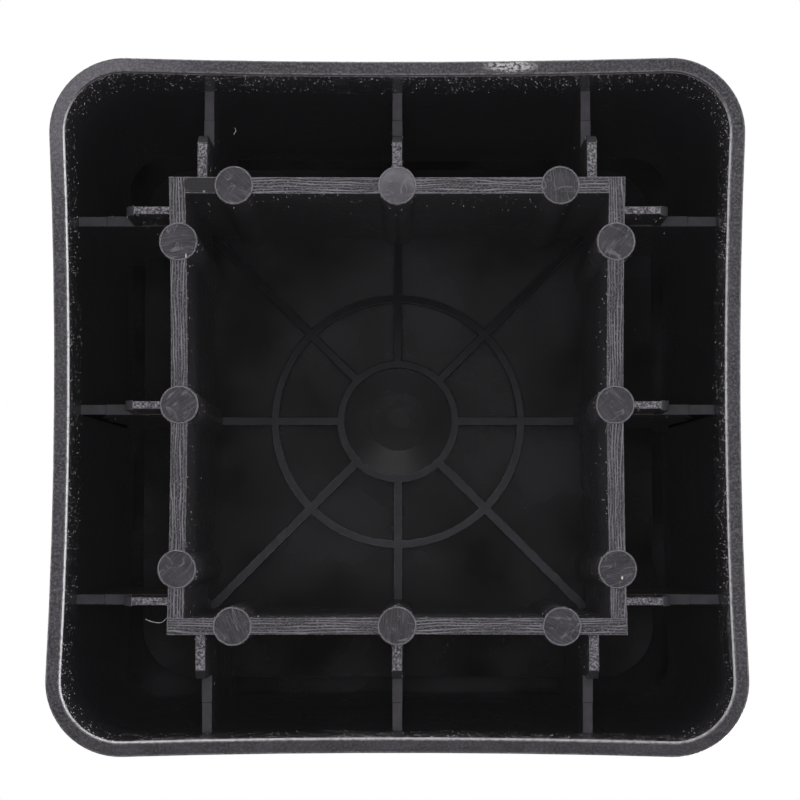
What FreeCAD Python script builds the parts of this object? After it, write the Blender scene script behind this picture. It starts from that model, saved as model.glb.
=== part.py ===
import FreeCAD, Part
import math
import os
import re

import Sketcher
from FreeCAD import Vector

# A moulded bed riser, one piece of black plastic.
# It stands on the rim of its skirt, with the leg recess on top and the ribbed hollow below.
# Millimetres. The floor is z = 0, +Z is up, and the origin is under the middle of the foot.

NODE = "riser_body"

SIZES = (
    ("base_width", 140.0, "foot, across the rounded corners"),
    ("corner_radius", 15.0, "outer corner of the skirt in plan"),
    ("bow_across", 1.35, "how far the two X sides curve inwards"),
    ("bow_along", 0.8, "how far the two Y sides curve inwards"),
    ("wall", 3.1, "skirt"),
    ("edge_break", 0.2, "outer edge of the foot"),
    ("inner_lead", 0.45, "inner edge of the foot"),
    ("band_height", 20.0, "upright band above the foot"),
    ("shoulder_height", 75.0, "where the taper of the skirt ends"),
    ("rise", 76.2, "floor to leg seat, a lift of 3 inches"),
    ("recess_depth", 18.0, "leg seat to top rim"),
    ("top_thickness", 3.0, "flat rim round the recess"),
    ("top_round", 1.2, "outer edge of the top rim"),
    ("stack_gap", 0.6, "between this top and the skirt of a riser stacked on it"),
    ("recess_width", 110.8, "leg recess, between its flat walls"),
    ("recess_corner", 9.0, "corner of the recess in plan"),
    ("recess_wall", 2.4, "wall of the recess"),
    ("recess_lead", 0.8, "sloped mouth of the recess"),
    ("seat_thickness", 3.0, "plate under the leg"),
    ("seat_fillet", 1.5, "edge where the seat meets the recess wall"),
    ("ring_width", 91.8, "square inner wall, outside"),
    ("ring_wall", 3.35, "square inner wall, at its foot"),
    ("ring_setback", 0.2, "foot of the inner wall above the floor"),
    ("ring_bow_across", 0.65, "how far its X sides curve inwards"),
    ("ring_bow_along", 0.15, "how far its Y sides curve inwards"),
    ("post_diameter", 7.8, "round posts in the inner wall"),
    ("post_inset", 13.1, "posts beside the corners, in from the outside of that wall"),
    ("post_setback", 0.1, "foot of the posts above the floor"),
    ("draft_angle", 0.3, "taper of the walls and ribs below the seat, degrees"),
    ("rib_thickness", 2.0, "stepped ribs, at the lower edge of their full thickness"),
    ("blade_across", 1.55, "lower edge of the blades on the two X sides, thinner than their tips"),
    ("rib_inset", 6.7, "outer ribs, in from the outside of the square wall"),
    ("rib_setback", 1.0, "lower edge of the ribs above the floor"),
    ("nest_gap", 0.75, "rib tip to the recess wall of the riser below"),
    ("nest_slack", 1.0, "rib shoulder above the rim of the riser below"),
    ("tip_run", 1.7, "sloped tip of a rib, outwards"),
    ("tip_rise", 2.4, "sloped tip of a rib, upwards"),
    ("root_reach", 60.4, "where a rib thins out towards the skirt"),
    ("root_step", 0.35, "small step in the shoulder there"),
    ("root_thickness", 2.1, "rib between that step and the skirt"),
    ("web_height", 4.0, "low ribs under the seat"),
    ("web_thickness", 1.85, "radial ribs under the seat"),
    ("hub_diameter", 27.6, "small round wall under the seat"),
    ("hub_wall", 1.7, "its thickness"),
    ("hoop_diameter", 57.3, "large round rib under the seat"),
    ("hoop_wall", 1.7, "its thickness"),
    ("cone_fall", 1.1, "slope of the seat's underside inside the hub"),
    ("well_diameter", 13.0, "gate well in the middle of the hub"),
    ("well_depth", 0.5, "gate well, at its edge"),
    ("well_dish", 0.5, "further depth in the middle of the well"),
)
SIZE_NAMES = "|".join(name for name, _, _ in SIZES)

# Posts and ribs follow the square wall's width, at even steps along each side
POST_SPACING = "(ring_width / 2 - post_inset)"
RIB_SPACING = "(ring_width / 2 - rib_inset)"

# Heights above the floor
SEAT_UNDERSIDE = "(rise - seat_thickness)"
SEAT_MIDDLE = "(rise - seat_thickness / 2)"
TOP = "(rise + recess_depth)"
TOP_UNDERSIDE = "(rise + recess_depth - top_thickness)"
TOP_MIDDLE = "(rise + recess_depth - top_thickness / 2)"
RIB_SHOULDER = "(recess_depth + nest_slack)"
WEB_EDGE = "(rise - seat_thickness - web_height)"

# The top slides into the foot of the riser above it, with stack_gap all round
TOP_WIDTH = "(base_width - 2 * wall - 2 * stack_gap)"
TOP_CORNER = "(corner_radius - wall - stack_gap)"

SKIRT_BOWS = ("bow_across", "bow_along")
RING_BOWS = ("ring_bow_across", "ring_bow_along")
QUARTER_TURN = math.pi / 2

doc = FreeCAD.newDocument("bed_riser")
sheet = doc.addObject("Spreadsheet::Sheet", "sizes")
for row, (size_name, size, note) in enumerate(SIZES, start=1):
    sheet.set(f"A{row}", size_name)
    sheet.set(f"B{row}", str(size))
    sheet.set(f"C{row}", note)
    sheet.setAlias(f"B{row}", size_name)
doc.recompute()


def terms(words):
    """An expression written with bare size names, in the terms of the sheet."""
    return re.sub(rf"\b({SIZE_NAMES})\b", r"sizes.\1", words)


def number(words):
    """The present value of such an expression."""
    return float(sheet.evalExpression(terms(words)))


def bind(item, path, words):
    """Tie a property of a document object to an expression."""
    item.setExpression(path, terms(words))


def new_body(name):
    """An empty body, labelled with its name."""
    body = doc.addObject("PartDesign::Body", name)
    body.Label = name
    return body


def origin_feature(body, role):
    """The body's own origin plane or axis with this role."""
    return next(item for item in body.Origin.OriginFeatures if item.Role == role)


def settle(body, feature):
    """Make a feature the body's latest and work out its shape."""
    feature.Refine = False
    body.Tip = feature
    doc.recompute()
    return feature


def new_sketch(body, name, height="0", plane="XY_Plane"):
    """An empty sketch on an origin plane, raised by a height."""
    sketch = body.newObject("Sketcher::SketchObject", name)
    sketch.AttachmentSupport = [(origin_feature(body, plane), "")]
    sketch.MapMode = "FlatFace"
    bind(sketch, "AttachmentOffset.Base.z", height)
    return sketch


def constrain(sketch, kind, *places):
    """A geometric constraint with no size."""
    sketch.addConstraint(Sketcher.Constraint(kind, *places))


def dimension(sketch, name, kind, *places, size):
    """A named dimension tied to the sheet."""
    index = sketch.addConstraint(Sketcher.Constraint(kind, *places, number(size)))
    sketch.renameConstraint(index, name)
    bind(sketch, f"Constraints.{name}", size)


def centre_on_origin(sketch, points, reach):
    """Hold four points, given in turn, on the corners of a square about the origin."""
    first, second, third, fourth = points
    constrain(sketch, "Symmetric", *first, *second, -2)
    constrain(sketch, "Symmetric", *fourth, *third, -2)
    constrain(sketch, "Symmetric", *first, *fourth, -1)
    dimension(sketch, "reach_across", "DistanceX", -1, 1, *first, size=reach)
    dimension(sketch, "reach_along", "DistanceY", -1, 1, *first, size=reach)


def arc(sketch, distance, direction, radius, start, end):
    """Add an arc, counter-clockwise, about a centre at a distance from the origin. Radians."""
    centre = Vector(distance * math.cos(direction), distance * math.sin(direction), 0)
    circle = Part.Circle(centre, Vector(0, 0, 1), radius)
    return sketch.addGeometry(Part.ArcOfCircle(circle, start, end), False)


def bow_radius(chord_half, bow):
    """Radius of an arc that rises by bow over a chord of twice chord_half."""
    return f"(({chord_half}^2 + {bow}^2) / (2 * {bow}))"


def bowed_outline(body, name, height, width, corner, bows):
    """Plan outline of four rounded corners, joined by four sides that curve inwards."""
    sketch = new_sketch(body, name, height)
    reach = f"({width} / 2 - {corner})"
    middle = number(reach)
    corner_round = number(corner)
    spans = [bow_radius(reach, bow) for bow in bows]
    corners = []
    sides = []
    for quarter in range(4):
        direction = quarter * QUARTER_TURN
        span = number(spans[quarter % 2])
        turn = math.asin(middle / span)
        next_turn = math.asin(middle / number(spans[(quarter + 1) % 2]))
        corners.append(arc(sketch, middle * math.sqrt(2), direction + QUARTER_TURN / 2, corner_round,
                           direction - turn, direction + QUARTER_TURN + next_turn))
        sides.append(arc(sketch, middle - number(bows[quarter % 2]) + span, direction, span - corner_round,
                         direction + math.pi - turn, direction + math.pi + turn))
    for quarter in range(4):
        constrain(sketch, "Tangent", corners[quarter], 1, sides[quarter], 1)
        constrain(sketch, "Tangent", corners[quarter - 1], 2, sides[quarter], 2)
    for other in corners[1:]:
        constrain(sketch, "Equal", corners[0], other)
    constrain(sketch, "Equal", sides[0], sides[2])
    constrain(sketch, "Equal", sides[1], sides[3])
    centre_on_origin(sketch, [(one, 3) for one in corners], reach)
    dimension(sketch, "corner_round", "Radius", corners[0], size=corner)
    dimension(sketch, "side_across", "Radius", sides[0], size=f"{spans[0]} - {corner}")
    dimension(sketch, "side_along", "Radius", sides[1], size=f"{spans[1]} - {corner}")
    return sketch


def rounded_outline(body, name, height, width, corner):
    """Plan outline of four straight sides with rounded corners."""
    sketch = new_sketch(body, name, height)
    reach = f"({width} / 2 - {corner})"
    middle = number(reach)
    edge = number(f"{width} / 2")
    corners = []
    sides = []
    for quarter in range(4):
        direction = quarter * QUARTER_TURN
        ahead = Vector(math.cos(direction), math.sin(direction), 0)
        aside = Vector(-math.sin(direction), math.cos(direction), 0)
        corners.append(arc(sketch, middle * math.sqrt(2), direction + QUARTER_TURN / 2, edge - middle,
                           direction, direction + QUARTER_TURN))
        side = Part.LineSegment(ahead * edge + aside * middle, ahead * edge - aside * middle)
        sides.append(sketch.addGeometry(side, False))
    for quarter in range(4):
        constrain(sketch, "Tangent", corners[quarter], 1, sides[quarter], 1)
        constrain(sketch, "Tangent", corners[quarter - 1], 2, sides[quarter], 2)
    for other in corners[1:]:
        constrain(sketch, "Equal", corners[0], other)
    centre_on_origin(sketch, [(one, 3) for one in corners], reach)
    dimension(sketch, "corner_round", "Radius", corners[0], size=corner)
    return sketch


def ring_outline(body, name, height, reach):
    """Plan outline of a sharp-cornered square whose sides curve inwards."""
    sketch = new_sketch(body, name, height)
    half = number(reach)
    radii = [bow_radius(reach, bow) for bow in RING_BOWS]
    sides = []
    for quarter in range(4):
        direction = quarter * QUARTER_TURN
        radius = number(radii[quarter % 2])
        turn = math.asin(half / radius)
        sides.append(arc(sketch, half - number(RING_BOWS[quarter % 2]) + radius, direction, radius,
                         direction + math.pi - turn, direction + math.pi + turn))
    for quarter in range(4):
        constrain(sketch, "Coincident", sides[quarter - 1], 1, sides[quarter], 2)
    constrain(sketch, "Equal", sides[0], sides[2])
    constrain(sketch, "Equal", sides[1], sides[3])
    centre_on_origin(sketch, [(one, 1) for one in sides], reach)
    dimension(sketch, "side_across", "Radius", sides[0], size=radii[0])
    dimension(sketch, "side_along", "Radius", sides[1], size=radii[1])
    return sketch


def strip_outline(body, name, height, start, finish, thickness):
    """Plan outline of a straight strip along X, centred on the X axis."""
    sketch = new_sketch(body, name, height)
    half = number(thickness) / 2
    near, far = number(start), number(finish)
    points = [Vector(near, -half, 0), Vector(far, -half, 0), Vector(far, half, 0), Vector(near, half, 0)]
    lines = []
    for index in range(4):
        lines.append(sketch.addGeometry(Part.LineSegment(points[index], points[(index + 1) % 4]), False))
    for index in range(4):
        constrain(sketch, "Coincident", lines[index - 1], 2, lines[index], 1)
    constrain(sketch, "Horizontal", lines[0])
    constrain(sketch, "Vertical", lines[1])
    constrain(sketch, "Horizontal", lines[2])
    constrain(sketch, "Symmetric", lines[0], 1, lines[3], 1, -1)
    dimension(sketch, "start", "DistanceX", -1, 1, lines[0], 1, size=start)
    dimension(sketch, "finish", "DistanceX", -1, 1, lines[0], 2, size=finish)
    dimension(sketch, "thickness", "DistanceY", lines[1], 1, lines[1], 2, size=thickness)
    return sketch


def annulus_outline(body, name, height, diameter, thickness):
    """Plan outline of a round wall, from its outer diameter and its thickness."""
    sketch = new_sketch(body, name, height)
    for side, radius in (("outside", f"{diameter} / 2"), ("inside", f"{diameter} / 2 - {thickness}")):
        circle = sketch.addGeometry(Part.Circle(Vector(0, 0, 0), Vector(0, 0, 1), number(radius)), False)
        constrain(sketch, "Coincident", circle, 3, -1, 1)
        dimension(sketch, side, "Radius", circle, size=radius)
    return sketch


def upright_profile(body, name, points):
    """Closed profile in the upright XZ plane, through (x, z) points given as expressions."""
    sketch = new_sketch(body, name, plane="XZ_Plane")
    places = [Vector(number(x), number(z), 0) for x, z in points]
    count = len(points)
    lines = []
    for index in range(count):
        lines.append(sketch.addGeometry(Part.LineSegment(places[index], places[(index + 1) % count]), False))
    for index, (x, z) in enumerate(points):
        constrain(sketch, "Coincident", lines[index - 1], 2, lines[index], 1)
        if x == "0":
            constrain(sketch, "PointOnObject", lines[index], 1, -2)
        else:
            dimension(sketch, f"x_{index}", "DistanceX", -1, 1, lines[index], 1, size=x)
        dimension(sketch, f"z_{index}", "DistanceY", -1, 1, lines[index], 1, size=z)
    return sketch


def loft(body, kind, name, sections):
    """A straight-sided loft through level outlines, added to the body or cut from it."""
    feature = body.newObject(f"PartDesign::{kind}Loft", name)
    feature.Profile = sections[0]
    feature.Sections = sections[1:]
    feature.Ruled = True
    return settle(body, feature)


def pad(body, name, sketch, length, taper="0"):
    """Raise a level outline by a length, with a taper in degrees."""
    feature = body.newObject("PartDesign::Pad", name)
    feature.Profile = sketch
    bind(feature, "Length", length)
    bind(feature, "TaperAngle", taper)
    return settle(body, feature)


def turned(body, kind, name, sketch):
    """Turn an upright profile round the Z axis, added to the body or cut from it."""
    feature = body.newObject(f"PartDesign::{kind}", name)
    feature.Profile = sketch
    feature.ReferenceAxis = (sketch, ["V_Axis"])
    feature.Angle = 360
    return settle(body, feature)


def round_level_edges(body, name, base, height, radius):
    """Round the edges of a feature that lie at one height."""
    level = number(height)
    near = 1e-4
    edges = []
    for index, edge in enumerate(base.Shape.Edges, start=1):
        if all(abs(corner.Z - level) < near for corner in edge.Vertexes):
            edges.append(f"Edge{index}")
    feature = body.newObject("PartDesign::Fillet", name)
    feature.Base = (base, edges)
    bind(feature, "Radius", radius)
    return settle(body, feature)


def copies_round(body, name, count):
    """A pattern of copies round the Z axis."""
    feature = body.newObject("PartDesign::PolarPattern", name)
    feature.Axis = (origin_feature(body, "Z_Axis"), [""])
    feature.Angle = 360
    feature.Occurrences = count
    return feature


def drafted(size, rise, sides):
    """A size that grows with the draft on a number of sides over a rise."""
    return f"({size} + {sides} * {rise} * tan(draft_angle))"


def add_skirt(body):
    """The outside and the hollow of the skirt, up to the flat top rim."""
    outer_levels = (
        ("foot_face", "0", "(base_width - 2 * edge_break)", "(corner_radius - edge_break)"),
        ("foot_edge", "edge_break", "base_width", "corner_radius"),
        ("band_top", "band_height", "base_width", "corner_radius"),
        ("shoulder", "shoulder_height", TOP_WIDTH, TOP_CORNER),
    )
    outer_plans = [bowed_outline(body, *level, SKIRT_BOWS) for level in outer_levels]
    loft(body, "Additive", "outer_form", outer_plans)
    top_plan = bowed_outline(body, "top_plan", "shoulder_height", TOP_WIDTH, TOP_CORNER, SKIRT_BOWS)
    outer_top = pad(body, "outer_top", top_plan, f"{TOP} - shoulder_height")
    round_level_edges(body, "top_edge", outer_top, TOP, "top_round")
    mouth_width = "(base_width - 2 * wall + 2 * inner_lead)"
    inner_levels = (
        ("mouth_face", "0", mouth_width, "(corner_radius - wall + inner_lead)"),
        ("mouth_edge", "inner_lead", "(base_width - 2 * wall)", "(corner_radius - wall)"),
        ("band_inside", "band_height", "(base_width - 2 * wall)", "(corner_radius - wall)"),
        ("shoulder_inside", "shoulder_height", f"({TOP_WIDTH} - 2 * wall)", f"({TOP_CORNER} - wall)"),
        ("rim_underside", TOP_UNDERSIDE, f"({TOP_WIDTH} - 2 * wall)", f"({TOP_CORNER} - wall)"),
    )
    hollow_plans = [bowed_outline(body, *level, SKIRT_BOWS) for level in inner_levels]
    loft(body, "Subtractive", "skirt_hollow", hollow_plans)


def add_recess_box(body):
    """The seat plate and the walls that hold the leg recess, solid for now."""
    outline = rounded_outline(body, "box_plan", SEAT_UNDERSIDE, "(recess_width + 2 * recess_wall)",
                              "(recess_corner + recess_wall)")
    pad(body, "recess_box", outline, f"{TOP_MIDDLE} - {SEAT_UNDERSIDE}")


def add_inner_wall(body):
    """The square wall from the floor to the seat, thicker towards the seat."""
    outside = "(ring_width / 2)"
    inside = "(ring_width / 2 - ring_wall)"
    outside_rise = f"({SEAT_MIDDLE} - ring_setback)"
    inside_rise = f"({SEAT_UNDERSIDE} - ring_setback)"
    loft(body, "Additive", "ring_block", [
        ring_outline(body, "ring_foot", "ring_setback", outside),
        ring_outline(body, "ring_head", SEAT_MIDDLE, drafted(outside, outside_rise, 1))])
    loft(body, "Subtractive", "ring_hollow", [
        ring_outline(body, "hollow_foot", "ring_setback", inside),
        ring_outline(body, "hollow_head", SEAT_UNDERSIDE, drafted(inside, inside_rise, -1))])


def add_posts(body):
    """Twelve round posts on the middle line of the square wall, three to a side."""
    sketch = new_sketch(body, "post_plan", "post_setback")
    radius = "post_diameter / 2"
    posts = []
    for quarter in range(4):
        outwards, sideways = ("DistanceX", "DistanceY") if quarter % 2 == 0 else ("DistanceY", "DistanceX")
        out_sign = (1, 1, -1, -1)[quarter]
        for step in (-1, 0, 1):
            line = "(ring_width - ring_wall) / 2"
            beside = f"({step} * {POST_SPACING})"
            out = f"({line} - {RING_BOWS[quarter % 2]} * (1 - ({beside} / (ring_width / 2))^2))"
            far, aside = out_sign * number(out), number(beside)
            place = Vector(far, aside, 0) if quarter % 2 == 0 else Vector(aside, far, 0)
            post = sketch.addGeometry(Part.Circle(place, Vector(0, 0, 1), number(radius)), False)
            label = f"post_{quarter}_{step + 1}"
            dimension(sketch, f"{label}_out", outwards, -1, 1, post, 3, size=f"{out_sign} * {out}")
            if step:
                dimension(sketch, f"{label}_aside", sideways, -1, 1, post, 3, size=beside)
            else:
                constrain(sketch, "PointOnObject", post, 3, -1 if quarter % 2 == 0 else -2)
            posts.append(post)
    dimension(sketch, "post_radius", "Radius", posts[0], size=radius)
    for other in posts[1:]:
        constrain(sketch, "Equal", posts[0], other)
    pad(body, "posts", sketch, f"{SEAT_MIDDLE} - post_setback")


def add_seat_webs(body):
    """Low webs under the seat: a hub wall, a round rib, eight radial ribs and the gate well."""
    height = f"({SEAT_MIDDLE} - {WEB_EDGE})"
    hub_middle = "((hub_diameter - hub_wall) / 2)"
    wall_inside = "(ring_width / 2 - ring_wall / 2 - ring_bow_across)"
    pad(body, "hub", annulus_outline(body, "hub_plan", WEB_EDGE, "hub_diameter", "hub_wall"), height)
    pad(body, "hoop", annulus_outline(body, "hoop_plan", WEB_EDGE, "hoop_diameter", "hoop_wall"), height)
    straight_plan = strip_outline(body, "straight_plan", WEB_EDGE, hub_middle, wall_inside, "web_thickness")
    straight_web = pad(body, "straight_web", straight_plan, height)
    diagonal_plan = strip_outline(body, "diagonal_plan", WEB_EDGE, hub_middle,
                                  f"({wall_inside} * sqrt(2))", "web_thickness")
    bind(diagonal_plan, "AttachmentOffset.Rotation.Angle", "45")
    diagonal_web = pad(body, "diagonal_web", diagonal_plan, height)
    radial_webs = copies_round(body, "radial_webs", 4)
    radial_webs.Originals = [straight_web, diagonal_web]
    settle(body, radial_webs)
    turned(body, "Revolution", "hub_cone", upright_profile(body, "cone_profile", (
        ("well_diameter / 2", SEAT_UNDERSIDE),
        (hub_middle, f"{SEAT_UNDERSIDE} - cone_fall"),
        (hub_middle, SEAT_MIDDLE),
        ("well_diameter / 2", SEAT_MIDDLE))))
    turned(body, "Groove", "gate_well", upright_profile(body, "well_profile", (
        ("0", WEB_EDGE),
        ("well_diameter / 2", WEB_EDGE),
        ("well_diameter / 2", f"{SEAT_UNDERSIDE} + well_depth"),
        ("0", f"{SEAT_UNDERSIDE} + well_depth + well_dish"))))


def add_rib_tip(body, tip, blade_full):
    """The full thickness at a rib's tip, with a slope that guides it into the riser below."""
    profile = upright_profile(body, "tip_profile", (
        (f"({tip} - tip_run)", "rib_setback"),
        (tip, blade_full),
        (tip, RIB_SHOULDER),
        (f"({tip} - tip_run)", RIB_SHOULDER)))
    bind(profile, "AttachmentOffset.Base.z", RIB_SPACING)
    tip_block = body.newObject("PartDesign::Pad", "rib_tip")
    tip_block.Profile = profile
    tip_block.Midplane = True
    bind(tip_block, "Length", "rib_thickness")
    return settle(body, tip_block)


def make_stack_ribs(name, blade_thickness, bow):
    """Six stepped ribs between the square wall and the skirt, three on each of two opposite sides.

    The blade of a rib enters the recess of the riser below, and its shoulder clears that riser's rim.
    """
    body = new_body(name)
    start = "(ring_width / 2 - ring_wall / 2 - ring_bow_across)"
    tip = "(recess_width / 2 - nest_gap)"
    blade_full = "(rib_setback + tip_rise)"
    shoulder_thickness = drafted("rib_thickness", f"({RIB_SHOULDER} - rib_setback)", 2)
    root_low = f"({RIB_SHOULDER} + root_step)"
    skirt_low = f"(base_width / 2 - {bow} - wall / 2)"
    skirt_high = f"({TOP_WIDTH} / 2 - {bow} - wall / 2)"
    lofts = (
        ("blade", blade_thickness, "rib_setback", (
            ("rib_setback", f"({tip} - tip_run)"), (blade_full, tip), (SEAT_MIDDLE, tip))),
        ("shoulder", shoulder_thickness, RIB_SHOULDER, (
            (RIB_SHOULDER, "root_reach"), (TOP_MIDDLE, "root_reach"))),
        ("root", "root_thickness", root_low, (
            (root_low, skirt_low), ("band_height", skirt_low), ("shoulder_height", skirt_high),
            (TOP_MIDDLE, skirt_high))),
    )
    parts = []
    for part_name, thickness, low, levels in lofts:
        sections = []
        for index, (height, reach) in enumerate(levels):
            thick = drafted(thickness, f"({height} - {low})", 2)
            section = strip_outline(body, f"{part_name}_level_{index}", height, start, reach, thick)
            bind(section, "AttachmentOffset.Base.y", f"-{RIB_SPACING}")
            sections.append(section)
        parts.append(loft(body, "Additive", f"rib_{part_name}", sections))
    parts.append(add_rib_tip(body, tip, blade_full))
    pattern = body.newObject("PartDesign::MultiTransform", "rib_pattern")
    pattern.Originals = parts
    along_side = body.newObject("PartDesign::LinearPattern", "along_side")
    along_side.Direction = (origin_feature(body, "Y_Axis"), [""])
    bind(along_side, "Length", f"2 * {RIB_SPACING}")
    along_side.Occurrences = 3
    pattern.Transformations = [along_side, copies_round(body, "both_sides", 2)]
    settle(body, pattern)
    return body


def make_leg_recess():
    """The space for the leg, down to the seat, with a sloped mouth."""
    body = new_body("leg_recess")
    floor_plan = rounded_outline(body, "recess_plan", "rise", "recess_width", "recess_corner")
    space = pad(body, "recess_space", floor_plan, "recess_depth - recess_lead")
    round_level_edges(body, "seat_edge", space, "rise", "seat_fillet")
    loft(body, "Additive", "recess_mouth", [
        rounded_outline(body, "mouth_low", f"({TOP} - recess_lead)", "recess_width", "recess_corner"),
        rounded_outline(body, "mouth_high", TOP, "(recess_width + 2 * recess_lead)",
                        "(recess_corner + recess_lead)")])
    return body


def make_riser():
    """The whole moulding: shell, inner wall, posts and webs, joined to the ribs, less the recess."""
    shell = new_body("shell")
    add_skirt(shell)
    add_recess_box(shell)
    add_inner_wall(shell)
    add_posts(shell)
    add_seat_webs(shell)
    ribs_across = make_stack_ribs("ribs_across", "blade_across", "bow_across")
    ribs_along = make_stack_ribs("ribs_along", "rib_thickness", "bow_along")
    ribs_along.Placement = FreeCAD.Placement(Vector(0, 0, 0), FreeCAD.Rotation(Vector(0, 0, 1), 90))
    ribbed = doc.addObject("Part::MultiFuse", "ribbed_shell")
    ribbed.Shapes = [shell, ribs_across, ribs_along]
    riser = doc.addObject("Part::Cut", NODE)
    riser.Base = ribbed
    riser.Tool = make_leg_recess()
    riser.Refine = True
    riser.Label = NODE
    riser.Placement = FreeCAD.Placement()
    doc.recompute()
    return riser


riser_body = make_riser()
for item in doc.Objects:
    if {"Invalid", "Error"} & set(item.State):
        raise RuntimeError(f"{item.Label} did not build: {item.State}")
shape = riser_body.Shape
if shape.isNull() or not shape.isValid():
    raise RuntimeError(f"{NODE} has no valid shape")

os.makedirs("parts", exist_ok=True)
shape.exportStep(f"parts/{NODE}.step")
box = shape.BoundBox
print(f"{NODE}: {len(shape.Solids)} solid, {shape.Volume / 1000:.1f} cm3, "
      f"{box.XLength:.2f} x {box.YLength:.2f} x {box.ZLength:.2f} mm")
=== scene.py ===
import math

import bmesh
import bpy
from bpy.props import FloatProperty, FloatVectorProperty, IntProperty, PointerProperty
from bpy.types import Operator, Panel, PropertyGroup
from mathutils import Matrix, Vector


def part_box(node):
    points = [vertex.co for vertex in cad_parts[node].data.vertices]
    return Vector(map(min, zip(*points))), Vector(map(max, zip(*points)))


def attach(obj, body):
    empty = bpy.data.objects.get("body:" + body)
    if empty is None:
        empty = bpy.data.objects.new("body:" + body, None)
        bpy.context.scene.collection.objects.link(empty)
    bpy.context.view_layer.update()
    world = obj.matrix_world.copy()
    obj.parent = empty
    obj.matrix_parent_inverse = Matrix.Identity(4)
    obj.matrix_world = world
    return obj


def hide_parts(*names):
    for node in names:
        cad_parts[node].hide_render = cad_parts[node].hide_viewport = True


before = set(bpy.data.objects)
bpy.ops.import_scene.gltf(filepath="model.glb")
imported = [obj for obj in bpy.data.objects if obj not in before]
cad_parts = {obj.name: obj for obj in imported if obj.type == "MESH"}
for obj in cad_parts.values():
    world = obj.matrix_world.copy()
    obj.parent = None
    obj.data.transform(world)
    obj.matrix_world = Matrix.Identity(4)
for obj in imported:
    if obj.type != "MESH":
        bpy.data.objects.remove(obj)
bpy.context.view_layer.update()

bl_info = {
    "name": "Bed riser dressing",
    "version": (1, 0, 0),
    "blender": (4, 5, 0),
    "location": "3D View > Sidebar > Bed riser",
    "description": "Finishes a moulded bed riser: rounded edges, worn black plastic, dust and a plain stage",
    "category": "Object",
}

# The riser stands on its foot rim at z = 0, and the photograph looks up into its hollow from below.
# Lengths are in metres; MM turns millimetres into them.
MM = 0.001
NODE = "riser_body"
BODY = "root"
LOW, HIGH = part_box(NODE)
POSTS = 12

# Levels above the floor of the faces that look down. Each rib steps up at its root, beside the skirt
POST_END = 0.1 * MM
WALL_END = 0.2 * MM
BLADE_EDGE = 1.0 * MM
SHOULDER_EDGE = 19.0 * MM
ROOT_EDGE = 19.35 * MM
WEB_EDGE = 69.2 * MM
LEVEL_NEAR = 0.04 * MM

# Marks and patches of painted light in plan, in millimetres: middle x and y, and half the width along X and
# Y
RIM_SCUFF = (-22.8, 68.3, 4.7, 1.1)
RIM_FLAKE = (64.2, -52.9, 0.35, 0.25)
# Painted light on this corner of the rim
RIM_LIT_CORNER = (62, 62, 17, 17)
SMOOTH_PATCH = (38.6, 44.4, 4.4, 2.2)
PATCH_FLECK = (38.8, 42.9, 0.22, 0.22)
# Painted light on the far post, weaker inside the second spot
FAR_POST = (0, 44.1, 4, 4)
FAR_POST_DARK_SIDE = (0, 42.0, 3.7, 3.3)
POST_CHIPS = ((-44.8, -34.5, 0.18, 0.34), (42.35, 29.9, 0.10, 0.5))
# A patch of painted glow on the seat plate
PLATE_GLOW = (0, 31, 18, 13)

# Threads of lint, through points in millimetres
LINT = (
    ((46.0, -42.5, 2.2), (47.0, -43.4, 1.2), (48.6, -43.3, 0.8), (50.2, -42.8, 1.7)),
    ((33.4, 55.6, 8.0), (32.9, 56.4, 7.2), (33.2, 57.0, 7.8)),
)

# Heights of the dust: where it is thickest, where that ends, its highest speck, and how low it may lie
DUST_FOOT = 0.4 * MM
DUST_THICK = 7 * MM
DUST_TOP = 46 * MM
DUST_CLEAR = 0.6 * MM

# Colours that don't follow from the plastic's: whitened by the scuff, painted highlights on the foot's inner
# slope and on its rounding, and a chip's core
WHITENED = (0.48, 0.47, 0.48)
PAINTED_LEAD_HIGHLIGHT = (0.70, 0.69, 0.71)
PAINTED_ROUND_HIGHLIGHT = (0.60, 0.59, 0.61)
CHIPPED = (0.62, 0.58, 0.52)
FLOOR_PAINT = (0.80, 0.80, 0.80)

# Light that strays into the hollow, as a glow of its deep faces
STRAY_LIGHT = 0.0028
STRAY_TINT = (1.0, 0.98, 1.05)

# Sizes that tell the regions of the moulding apart, and how far a face looks up or down
POST_RADIUS = 3.9 * MM
WALL_INSIDE = 42.3 * MM
RECESS_INSIDE = 56.4 * MM
SKIRT_NEAR = 61.5 * MM
EDGE_BREAK_TOP = 0.22 * MM
FOOT_LEAD_TOP = 1 * MM
NEAR_FLOOR = 0.8 * MM
SEAT_MIDDLE = 74.5 * MM
CORNER_ANGLE = math.radians(28)
LOOKS_DOWN = -0.9
SLOPES_DOWN = -0.3
SLOPES_UP = 0.3
LOOKS_UP = 0.5

# Steps from one post end to the next: turn of its scratches, in radians, and shift of its pattern
POST_TURN = 2.4
POST_SHIFT = 9.7

# Soft lights: place, width and depth in metres, which power they take, and their share of it
LIGHTS = (
    ("back low", (0.05, 0.60, -0.14), 0.5, 0.12, "key", 1.0),
    ("right low", (-0.60, 0.05, -0.14), 0.5, 0.12, "fill", 1.0),
    ("left low", (0.60, 0.05, -0.14), 0.5, 0.12, "fill", 0.7),
    ("hollow below", (-0.03, 0.30, -0.62), 0.25, 0.12, "key", 0.09),
    ("front below", (0, -0.03, -0.50), 0.12, 0.12, "front", 1.0),
    ("key above", (-0.55, -0.60, 0.80), 0.6, 0.6, "top", 1.0),
    ("side above", (0.75, -0.25, 0.45), 0.5, 0.5, "top", 0.45),
    ("back above", (0.15, 0.80, 0.55), 0.7, 0.4, "top", 0.6),
)
HOLLOW = (0, 0, 0.01)
OUTSIDE = (0, 0, 0.05)

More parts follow.
